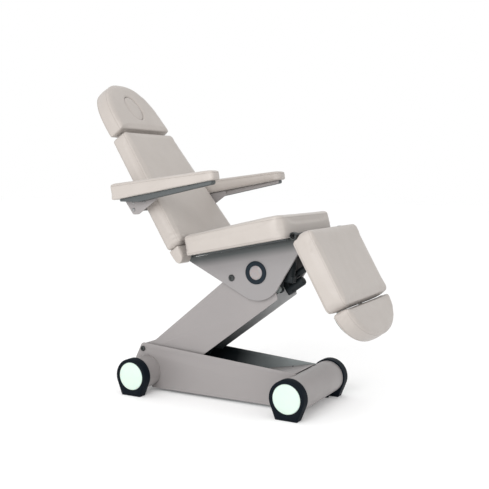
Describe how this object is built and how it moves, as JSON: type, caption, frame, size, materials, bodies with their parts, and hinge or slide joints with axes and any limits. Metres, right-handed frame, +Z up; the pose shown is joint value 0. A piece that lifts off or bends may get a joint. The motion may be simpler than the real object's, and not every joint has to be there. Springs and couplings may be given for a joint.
{
  "type": "facial treatment bed",
  "caption": "Powered reclining couch with padded sections on a lifting arm, with a parallel levelling rod, armrests and a low base on round feet.",
  "frame": {"origin": "on the floor, below the middle of the whole object in its raised, half-sitting position", "axes": "+Z up, +X towards the foot end, +Y towards the patient's left side"},
  "size_m": [1.6531, 0.804, 1.6871],
  "materials": {
    "painted_metal": "warm light grey powder coat",
    "upholstery": "cream leatherette, padded",
    "dark_plastic": "near-black moulded plastic",
    "pale_lens": "pale translucent cap",
    "badge_centre": "pale plain cap",
    "steel": "zinc plated steel",
    "black_motor": "black textured plastic",
    "plywood": "plywood board"
  },
  "bodies": {
    "base": {"base_side_panel_right": "painted_metal", "base_side_panel_left": "painted_metal", "base_floor_plate": "painted_metal", "base_front_cover": "painted_metal", "front_cross_tube": "painted_metal", "rear_cross_tube": "painted_metal", "foot_ring_front_right": "dark_plastic", "foot_ring_front_left": "dark_plastic", "foot_ring_rear_right": "dark_plastic", "foot_ring_rear_left": "dark_plastic", "foot_lens_front_right": "pale_lens", "foot_lens_front_left": "pale_lens", "foot_lens_rear_right": "pale_lens", "foot_lens_rear_left": "pale_lens", "arm_pivot_pin": "steel", "base_bracket": "steel"},
    "lift_arm": {"lift_arm": "painted_metal"},
    "levelling_rod": {"levelling_rod": "steel"},
    "carrier": {"seat_carrier": "steel"},
    "seat": {"cheek_plate_right": "painted_metal", "cheek_plate_left": "painted_metal", "badge_ring_right": "dark_plastic", "badge_ring_left": "dark_plastic", "badge_lens_right": "badge_centre", "badge_lens_left": "badge_centre", "cheek_bolt_right": "steel", "cheek_bolt_left": "steel", "seat_frame": "steel", "leg_hinge_rod": "steel", "back_hinge_pin": "steel", "seat_cushion": "upholstery", "leg_actuator": "black_motor"},
    "back": {"back_board": "plywood", "back_cushion": "upholstery", "back_hinge_cover": "upholstery", "back_frame": "steel", "armrest_axle": "steel", "head_hinge_bracket": "steel"},
    "head": {"head_cushion": "upholstery", "head_board": "plywood", "head_hinge_strap": "steel"},
    "face_plug": {"face_plug": "upholstery"},
    "armrest_right": {"armrest_pad_right": "upholstery", "armrest_tray_right": "painted_metal"},
    "armrest_left": {"armrest_pad_left": "upholstery", "armrest_tray_left": "painted_metal"},
    "leg": {"leg_board": "upholstery", "leg_cushion": "upholstery", "leg_frame": "steel"},
    "foot": {"foot_cushion": "upholstery", "foot_carriage": "steel"},
    "lift_actuator": {"lift_actuator": "black_motor"},
    "lift_actuator_rod": {"lift_actuator_rod": "steel"},
    "leg_actuator_rod": {"leg_actuator_rod": "steel"},
    "back_actuator": {"back_actuator": "black_motor"},
    "back_actuator_rod": {"back_actuator_rod": "steel"},
    "tilt_actuator": {"tilt_actuator": "black_motor"},
    "tilt_actuator_rod": {"tilt_actuator_rod": "steel"}
  },
  "joints": [
    {"name": "lift_arm_hinge", "type": "hinge", "parent": "base", "child": "lift_arm", "pos_m": [-0.5158, 0, 0.227], "axis": [0, -1, 0], "range_deg": [-16, 4]},
    {"name": "levelling_rod_hinge", "type": "hinge", "parent": "base", "child": "levelling_rod", "pos_m": [-0.4008, 0, 0.167], "axis": [0, -1, 0], "range_deg": [-16.5, 4.5]},
    {"name": "carrier_hinge", "type": "hinge", "parent": "lift_arm", "child": "carrier", "pos_m": [0.1932, 0, 0.689], "axis": [0, -1, 0], "range_deg": [-4.5, 16.5]},
    {"name": "seat_tilt", "type": "hinge", "parent": "carrier", "child": "seat", "pos_m": [0.1932, 0, 0.689], "axis": [0, -1, 0], "range_deg": [-11.2, 9]},
    {"name": "back_hinge", "type": "hinge", "parent": "seat", "child": "back", "pos_m": [-0.19537, 0, 0.75682], "axis": [0, 1, 0], "range_deg": [-65.4, 7]},
    {"name": "head_hinge", "type": "hinge", "parent": "back", "child": "head", "pos_m": [-0.62465, 0, 1.38041], "axis": [0, 1, 0], "range_deg": [-25, 12]},
    {"name": "face_plug_pull", "type": "slide", "parent": "head", "child": "face_plug", "axis": [0.8161, 0, 0.5779], "range_m": [0, 0.12]},
    {"name": "armrest_right_hinge", "type": "hinge", "parent": "back", "child": "armrest_right", "pos_m": [-0.40953, 0, 1.00218], "axis": [0, -1, 0], "range_deg": [-60, 100]},
    {"name": "armrest_left_hinge", "type": "hinge", "parent": "back", "child": "armrest_left", "pos_m": [-0.40953, 0, 1.00218], "axis": [0, -1, 0], "range_deg": [-60, 100]},
    {"name": "leg_hinge", "type": "hinge", "parent": "seat", "child": "leg", "pos_m": [0.47424, 0, 0.89501], "axis": [0, -1, 0], "range_deg": [-6, 64]},
    {"name": "foot_slide", "type": "slide", "parent": "leg", "child": "foot", "axis": [0.4848, 0, -0.8746], "range_m": [0, 0.12]},
    {"name": "lift_actuator_hinge", "type": "hinge", "parent": "base", "child": "lift_actuator", "pos_m": [-0.2858, 0, 0.07], "axis": [0, -1, 0], "range_deg": [-17.5, 4.5]},
    {"name": "lift_actuator_stroke", "type": "slide", "parent": "lift_actuator", "child": "lift_actuator_rod", "axis": [0.5978, 0, 0.8016], "range_m": [-0.078, 0.0195]},
    {"name": "leg_actuator_stroke", "type": "slide", "parent": "seat", "child": "leg_actuator_rod", "axis": [0.8229, 0, 0.5681], "range_m": [-0.014, 0.1435]},
    {"name": "back_actuator_hinge", "type": "hinge", "parent": "seat", "child": "back_actuator", "pos_m": [0.2944, 0, 0.79569], "axis": [0, -1, 0], "range_deg": [-0.5, 2]},
    {"name": "back_actuator_stroke", "type": "slide", "parent": "back_actuator", "child": "back_actuator_rod", "axis": [-0.9828, 0, -0.1848], "range_m": [-0.0712, 0.0082]},
    {"name": "tilt_actuator_hinge", "type": "hinge", "parent": "carrier", "child": "tilt_actuator", "pos_m": [0.3042, 0, 0.6], "axis": [0, -1, 0], "range_deg": [-7.7, 6.2]},
    {"name": "tilt_actuator_stroke", "type": "slide", "parent": "tilt_actuator", "child": "tilt_actuator_rod", "axis": [0.1047, 0, 0.9945], "range_m": [-0.0242, 0.0195]}
  ],
  "couplings": [
    {"joint": "levelling_rod_hinge", "follows": "lift_arm_hinge", "ratio": 1},
    {"joint": "carrier_hinge", "follows": "lift_arm_hinge", "ratio": -1},
    {"joint": "lift_actuator_hinge", "follows": "lift_arm_hinge", "ratio": 1.0749},
    {"joint": "lift_actuator_stroke", "follows": "lift_arm_hinge", "m_per_rad": 0.2745},
    {"joint": "leg_actuator_stroke", "follows": "leg_hinge", "m_per_rad": 0.1271},
    {"joint": "back_actuator_hinge", "follows": "back_hinge", "ratio": -0.0275},
    {"joint": "back_actuator_stroke", "follows": "back_hinge", "m_per_rad": 0.0616},
    {"joint": "tilt_actuator_hinge", "follows": "seat_tilt", "ratio": 0.6686},
    {"joint": "tilt_actuator_stroke", "follows": "seat_tilt", "m_per_rad": 0.121}
  ]
}
